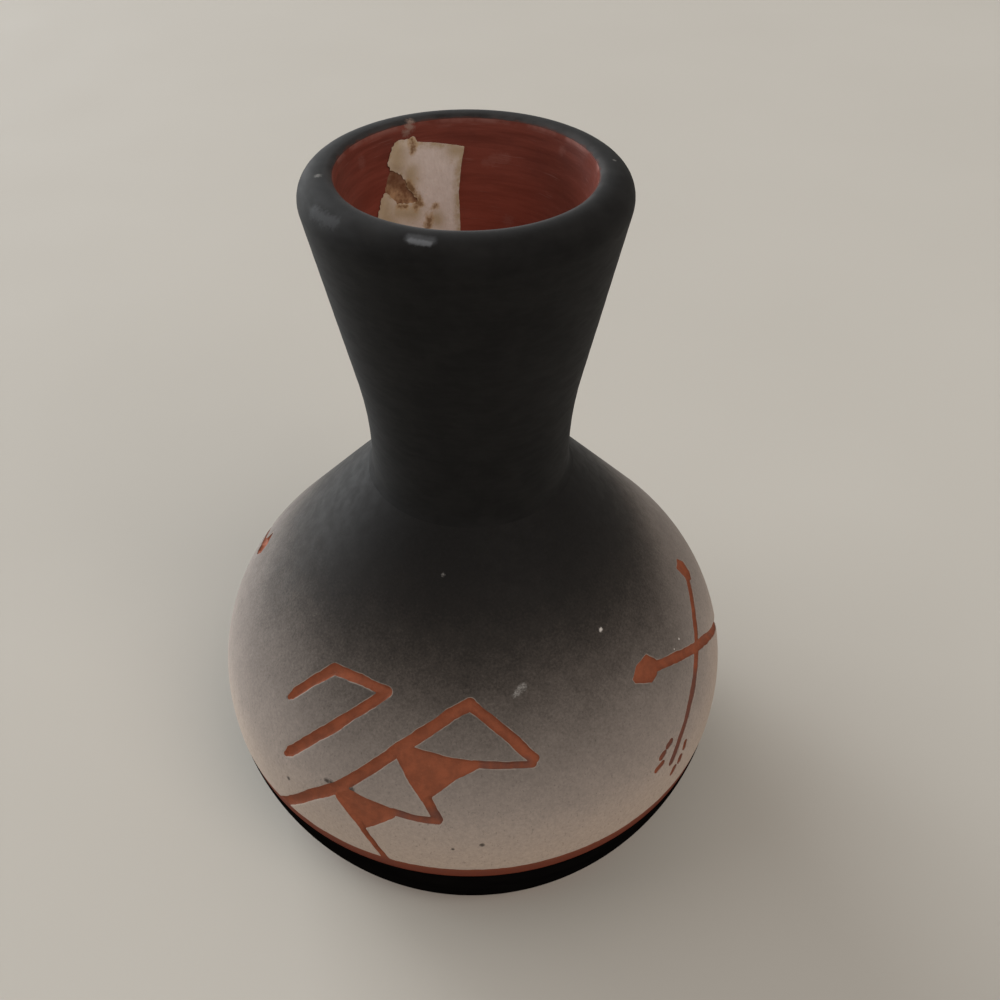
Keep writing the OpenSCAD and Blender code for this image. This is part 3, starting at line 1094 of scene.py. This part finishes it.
def slip_globe(plan, material):
    """The globe's slip coat, open at the cuts and rounded along their edges."""
    uneven = COAT_WAVE * (1 + wander(plan.azimuth, plan.distance, 9.0, seed=21))
    near = np.exp(-((np.clip(plan.value, 0, 1) / COAT_ROUND) ** 2)) * (plan.value < 0.5)
    depth = uneven * np.clip(plan.to_top / 4, 0, 1) + COAT_DROP * near
    top = placed(plan.rows, plan.azimuth, depth)
    bottom = placed(plan.rows, plan.azimuth, COAT - HIDDEN_GAP)
    coat = [t for t, is_cut in zip(plan.triangles, plan.cut) if not is_cut]
    verts, faces = closed_sheet(top, bottom, coat)
    used = np.zeros(len(verts), bool)
    used[[k for face in faces for k in face]] = True
    index = np.cumsum(used) - 1
    faces = [tuple(index[k] for k in face) for face in faces]
    edge = np.tile(np.clip(plan.value, 0, 1), 2)[used]
    add_piece("slip_globe", verts[used], faces, material, "globe_coat", "graded_slip", edge=edge)


def clay_globe(plan, material):
    """The globe's clay: the sheet that shows in the cuts, sunk and scraped there, and the rest."""
    inward = np.clip(-plan.value, 0, None)
    marks = SCRAPE_DEPTH * wander(plan.azimuth, plan.distance, SCRAPE_SIZE, seed=31)
    marks = marks * np.clip(inward / RING_ROUND, 0, 1)
    above_ring = np.clip((plan.distance - RING_W / 2) / RING_BLEND, 0, 1)
    ring_cut = RING_GROOVE * (1 - np.exp(-inward / RING_ROUND)) * (1 - above_ring)
    figure_cut = FIGURE_GROOVE * (1 - np.exp(-inward / GROOVE_ROUND)) * above_ring
    depth = COAT + ring_cut + figure_cut + marks
    depth[plan.distance < SAME_PLACE] = COAT + RING_GROOVE
    depth[plan.to_top < SAME_PLACE] = COAT
    sheet = placed(plan.rows, plan.azimuth, depth)
    below = clay_strip()
    verts = np.vstack([sheet, below.reshape(-1, 3)])
    strip = lattice_faces(len(below), AROUND, False)
    faces = plan.triangles + [tuple(k + len(sheet) for k in quad) for quad in strip]
    add_piece("clay_globe", verts, faces, material, "globe", "clay")


def clay_strip():
    """The rest of the globe's clay: half the ring, the foot, the inside and the neck's seat."""
    ring = spaced(arc(GLOBE_C, GLOBE_R, RING_MID, RING_LOW), RING_STEP)
    gap = lengths(ring)[-1] - lengths(ring)
    ring_depth = COAT + RING_GROOVE * (1 - np.exp(-gap / RING_ROUND))
    ring_depth[0] = COAT + RING_GROOVE
    belly = spaced(arc(GLOBE_C, GLOBE_R, RING_LOW, FOOT_ANGLE), HIDDEN_STEP)
    foot = np.vstack([arc(FOOT_C, FOOT_R, FOOT_ANGLE, -90), row((0.0, 0.0), (0.0, -1.0))])
    foot = spaced(foot, FOOT_STEP)
    inside = WALL - COAT
    cavity = np.vstack((
        row((0.0, FLOOR_T - COAT), (0.0, 1.0)),
        arc(FLOOR_C, FLOOR_R + COAT, -90, FLOOR_ANGLE, -1),
        arc(GLOBE_C, GLOBE_R - inside, FLOOR_ANGLE, 0, -1),
        arc(SHOULDER_C, SHOULDER_R - inside, 0, SHOULDER_ANGLE, -1),
        arc(CREASE_C, CREASE_R + inside, CREASE_LOW, CREASE_LOW - 10),
    ))
    seat_end = CREASE_C + (CREASE_R + COAT) * way(CREASE_LOW)
    seat = np.vstack([row(crease(COAT), way(90)), row(seat_end, -way(CREASE_LOW))])
    around = azimuths()
    parts = (
        (ring, ring_depth[:, None]),
        (belly[1:], COAT),
        (foot[1:], foot_relief(around, foot[1:, :1])),
        (spaced(cavity, HIDDEN_STEP), 0.0),
        (seat, 0.0),
    )
    return np.vstack([placed(rows[:, None], around, depth) for rows, depth in parts])


def spiral(azimuth, run, pitch):
    """A wave from 0 to 2 that climbs by its pitch in each turn."""
    return 1 + np.sin(2 * math.pi * run / pitch + np.radians(azimuth))


def foot_relief(azimuth, radius):
    """The spiral that the trimming tool left under the foot, none near the foot's edge or the middle."""
    fade = np.clip((FOOT_C[0] - 2.0 - radius) / 4, 0, 1) * np.clip(radius / 3, 0, 1)
    return TRIM_DEPTH * spiral(azimuth, radius, TRIM_PITCH) * fade


def neck_relief(azimuth, distance):
    """Faint throwing ridges up the neck, none at the crease."""
    ridges = RIDGE_DEPTH * spiral(azimuth, distance, RIDGE_PITCH)
    skin = SKIN_WAVE * (1 + wander(azimuth, distance, 6.0, 41, WAIST_R))
    return (ridges + skin) * np.clip(distance / 4, 0, 1)


def liner_relief(azimuth, distance):
    """Throwing rings that climb the inside in a slow spiral."""
    rings = THROW_DEPTH * spiral(-azimuth, distance, THROW_PITCH)
    fade = np.clip(distance / 6, 0, 1)
    return fade * rings * (0.6 + 0.4 * wander(azimuth, distance, 9.0, 51, WAIST_R))


def band_relief(azimuth, distance):
    """A slightly uneven skin low on the globe."""
    return SKIN_WAVE * (1 + wander(azimuth, distance, 7.0, seed=61))


def torn_outline(corners, torn, seed):
    """An outline in millimetres whose torn sides waver, and which of its points are torn."""
    rng = np.random.default_rng(seed)
    size = np.array([LABEL_W, LABEL_H])
    points = []
    ragged = []
    for k, corner in enumerate(corners):
        start = np.array(corner) * size
        end = np.array(corners[(k + 1) % len(corners)]) * size
        length = np.hypot(*(end - start))
        count = max(2, round(length / LABEL_GRID))
        out = np.array([end[1] - start[1], start[0] - end[0]]) / length
        for part in np.arange(count) / count:
            waver = rng.uniform(-1, 1) * (TORN_WAVER if k in torn else CUT_WAVER)
            points.append(start + part * (end - start) + waver * out)
            ragged.append(k in torn)
    return np.array(points), np.array(ragged)


def gap_to(points, others):
    """Distance from each point to the nearest of some others."""
    return np.sqrt(((points[:, None] - others[None]) ** 2).sum(-1).min(1))


def label_sheet(corners, torn, seed):
    """A flat sheet of the label: points, triangles, and distances from its edge and its torn sides."""
    outline, ragged = torn_outline(corners, torn, seed)
    low = outline.min(0)
    high = outline.max(0)
    x, y = np.meshgrid(np.arange(low[0], high[0], LABEL_GRID), np.arange(low[1], high[1], LABEL_GRID))
    inner = np.stack([x.ravel(), y.ravel()], axis=1)
    inner = inner[gap_to(inner, outline) > 0.6 * LABEL_GRID]
    loop = [(k, (k + 1) % len(outline)) for k in range(len(outline))]
    flat, triangles, _ = triangulate([*map(tuple, outline), *map(tuple, inner)], loop, 1)
    return flat, triangles, gap_to(flat, outline), gap_to(flat, outline[ragged])


def on_inner_wall(flat, depth):
    """Points of a label laid on the inner wall, at depths in front of the glaze."""
    height = LABEL_TOP + flat[:, 1]
    radius = flare_x(0.0, height) - (WALL + depth) / math.cos(math.radians(FLARE_ANGLE))
    turn = np.radians(180 + LABEL_TURN) + np.arcsin(flat[:, 0] / radius)
    return np.stack([radius * np.sin(turn), -radius * np.cos(turn), height], axis=1) * MM


def smears(flat, strokes):
    """How strongly each point of the label lies on some paths, those of stains and of painted shadow on
    the glue, from 0 to 1.
    """
    size = np.array([LABEL_W, LABEL_H])
    total = np.zeros(len(flat))
    for reach, path in strokes:
        path = np.array(path) * size
        steps = np.linspace(0, len(path) - 1, SMEAR_STEPS * len(path))
        line = between(path, np.arange(len(path)), steps)
        total = np.maximum(total, np.exp(-((gap_to(flat, line) / reach) ** 2)))
    return total


def label_paper(material):
    """The torn paper label, thinned where it tore and lifted a little along its edges."""
    flat, triangles, edge, torn = label_sheet(PAPER_OUTLINE, PAPER_TORN, seed=71)
    lift = GLUE_T + PAPER_LIFT * np.exp(-edge / PAPER_CURL)
    thickness = PAPER_T * np.clip(torn / PAPER_TAPER, PAPER_THINNEST, 1)
    face = on_inner_wall(flat, lift + thickness)
    verts, faces = closed_sheet(face, on_inner_wall(flat, lift), triangles)
    values = {"edge": edge, "stain": smears(flat, BROWN_STAINS), "yellow": smears(flat, YELLOW_STAINS)}
    values = {key: np.tile(numbers, 2) for key, numbers in values.items()}
    add_piece("label_paper", verts, faces, material, "paper_label", "paper", **values)


def label_glue(material):
    """The lumpy film of glue under the label."""
    flat, triangles, edge, _ = label_sheet(GLUE_OUTLINE, GLUE_TORN, seed=72)
    lumps = np.random.default_rng(73).uniform(0.5, 1.0, len(flat))
    thickness = GLUE_T * lumps * np.clip(edge / GLUE_TAPER, GLUE_THINNEST, 1)
    face = on_inner_wall(flat, thickness - HIDDEN_GAP)
    verts, faces = closed_sheet(face, on_inner_wall(flat, -HIDDEN_GAP), triangles)
    # Painted shadow of the paper's flap, kept for the glue's colour
    stain = np.tile(smears(flat, GLUE_PAINTED_SHADOW), 2)
    add_piece("label_glue", verts, faces, material, "label_adhesive", "glue", stain=stain)


def build_vase():
    """Every visible piece, each standing for one CAD node."""
    clay = bare_clay("terracotta")
    plan = GlobePlan()
    slip_globe(plan, graded_slip())
    clay_globe(plan, clay)
    verts, faces, run = turned_coat(neck_outline(), NECK_STEP, neck_relief)
    add_piece("slip_neck", verts, faces, black_slip(), "neck_coat", "black_slip", edge=run.max() - run)
    band = arc(GLOBE_C, GLOBE_R, -FOOT_BAND_ANGLE, RING_LOW)
    verts, faces, _ = turned_coat(band, COAT_STEP, band_relief)
    add_piece("slip_foot", verts, faces, shaded_foot_slip(), "foot_band", "black_slip")
    verts, faces, run = turned_coat(liner_outline(), COAT_STEP, liner_relief)
    add_piece("glaze_inside", verts, faces, liner_glaze(), "liner_glaze", "liner", edge=run)
    label_paper(aged_paper())
    label_glue(dried_glue())
    for name, material in (("neck", clay), ("luting_ring", bare_clay("luting_slip"))):
        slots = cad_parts[name].data.materials
        slots.clear()
        slots.append(material)


def build_camera():
    """The camera at the photograph's viewing angle."""
    pitch, yaw, roll = (math.radians(a) for a in (CAMERA_PITCH, CAMERA_YAW, CAMERA_ROLL))
    forward = Vector((math.sin(yaw) * math.cos(pitch), math.cos(yaw) * math.cos(pitch), -math.sin(pitch)))
    level = Vector((math.cos(yaw), -math.sin(yaw), 0.0))
    upright = level.cross(forward)
    right = level * math.cos(roll) + upright * math.sin(roll)
    up = upright * math.cos(roll) - level * math.sin(roll)
    data = bpy.data.cameras.new("camera")
    data.lens = CAMERA_LENS
    data.sensor_width = CAMERA_SENSOR
    data.clip_start = CAMERA_NEAR * MM
    camera = add_object("camera", data)
    turned = Matrix((right, up, -forward)).transposed().to_4x4()
    camera.matrix_world = Matrix.Translation(Vector(CAMERA_AT) * MM) @ turned
    bpy.context.scene.camera = camera


def add_light(name, source, strength, colour):
    """A wide, soft light that shines from a direction."""
    data = bpy.data.lights.new(name, "SUN")
    data.energy = strength
    data.angle = math.radians(LIGHT_SPREAD)
    data.color = colour
    light = add_object(name, data)
    light.rotation_euler = Vector(source).to_track_quat("Z", "Y").to_euler()


def build_studio():
    """A pale floor, soft light from the left and behind, and a weaker fill."""
    world = bpy.data.worlds.new("studio")
    world.use_nodes = True
    background = world.node_tree.nodes["Background"]
    background.inputs["Color"].default_value = (*WORLD_LIGHT, 1.0)
    background.inputs["Strength"].default_value = WORLD_STRENGTH
    bpy.context.scene.world = world
    for light in LIGHTS:
        add_light(*light)
    paint = Paint("floor", STUDIO_DARK, Specular_IOR_Level=0.2)
    paint.over(STUDIO_PALE, paint.noise(90.0, 2))
    roughness = (paint.noise(40.0), 0.0, 1.0, 0.75, 0.85)
    mesh = bpy.data.meshes.new("floor")
    half = STUDIO_HALF * MM
    corners = [(-half, -half, 0), (half, -half, 0), (half, half, 0), (-half, half, 0)]
    mesh.from_pydata(corners, [], [(0, 1, 2, 3)])
    mesh.materials.append(paint.finish(roughness, (paint.noise(3.0), 0.01)))
    add_object("floor", mesh)


bpy.context.scene.view_settings.view_transform = "Standard"
build_camera()
build_studio()
build_vase()
